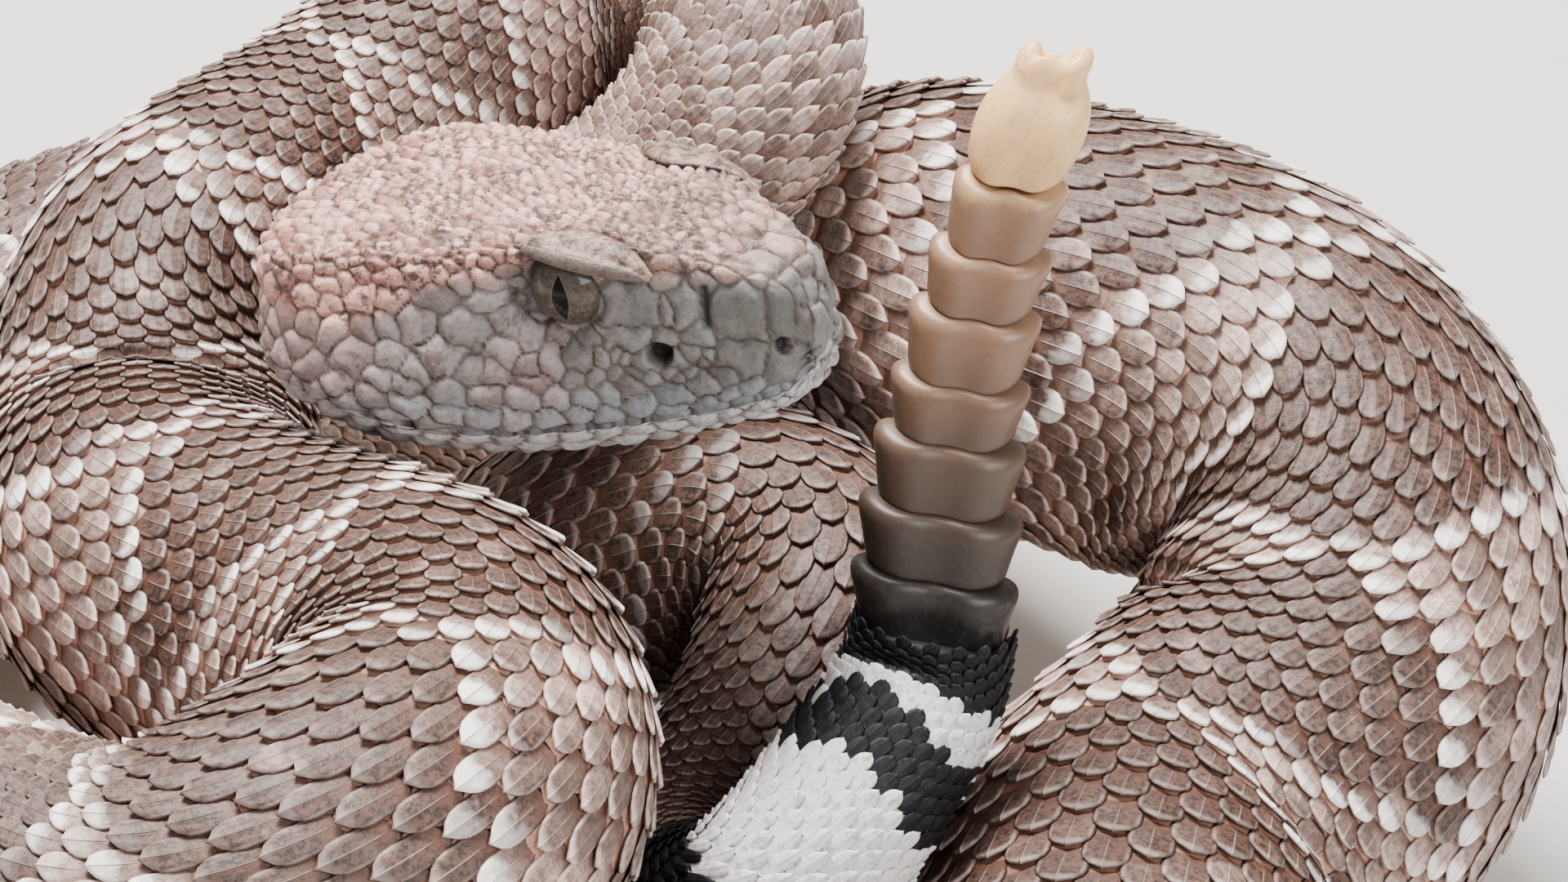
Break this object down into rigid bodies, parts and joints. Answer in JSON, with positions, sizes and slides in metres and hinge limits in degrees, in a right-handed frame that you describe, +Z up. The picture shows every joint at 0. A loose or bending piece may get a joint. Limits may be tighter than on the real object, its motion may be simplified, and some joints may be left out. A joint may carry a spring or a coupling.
{
  "type": "western diamondback rattlesnake",
  "caption": "A life-size, still model of a coiled western diamondback rattlesnake, head drawn back over its coils and rattle raised",
  "frame": {"origin": "on the floor, under the middle of the whole animal's box", "axes": "+Z up, +X to the right of the picture's view, +Y away from it"},
  "size_m": [0.1928, 0.1934, 0.1022],
  "materials": {
    "body_skin": "dry keeled scales, grey-brown with dark diamonds edged in white",
    "head_skin": "dry small scales, grey on the sides and pinkish beige on top",
    "tail_white": "dry keeled scales, chalk white",
    "tail_black": "dry keeled scales, black",
    "eye": "wet gloss, olive-grey iris with a vertical slit pupil",
    "rattle_dark": "satin dry horn, dark grey",
    "rattle_horn": "satin dry horn, tan to cream"
  },
  "bodies": {
    "root": {"head": "head_skin", "eye_right": "eye", "eye_left": "eye", "neck": "body_skin", "body_1": "body_skin", "body_2": "body_skin", "body_3": "body_skin", "body_4": "body_skin", "body_5": "body_skin", "body_6": "body_skin", "body_7": "body_skin", "body_8": "body_skin", "body_9": "body_skin", "body_10": "body_skin", "body_11": "body_skin", "body_12": "body_skin", "body_13": "body_skin", "body_14": "body_skin", "body_15": "body_skin", "body_16": "body_skin", "body_17": "body_skin", "body_18": "body_skin", "body_19": "body_skin", "body_20": "body_skin", "body_21": "body_skin", "body_22": "body_skin", "tail_black_1": "tail_black", "tail_white_1": "tail_white", "tail_black_2": "tail_black", "tail_white_2": "tail_white", "tail_black_3": "tail_black", "rattle_1": "rattle_dark", "rattle_2": "rattle_dark", "rattle_3": "rattle_dark", "rattle_4": "rattle_horn", "rattle_5": "rattle_horn", "rattle_6": "rattle_horn", "rattle_7": "rattle_horn", "rattle_tip": "rattle_horn"}
  },
  "joints": []
}
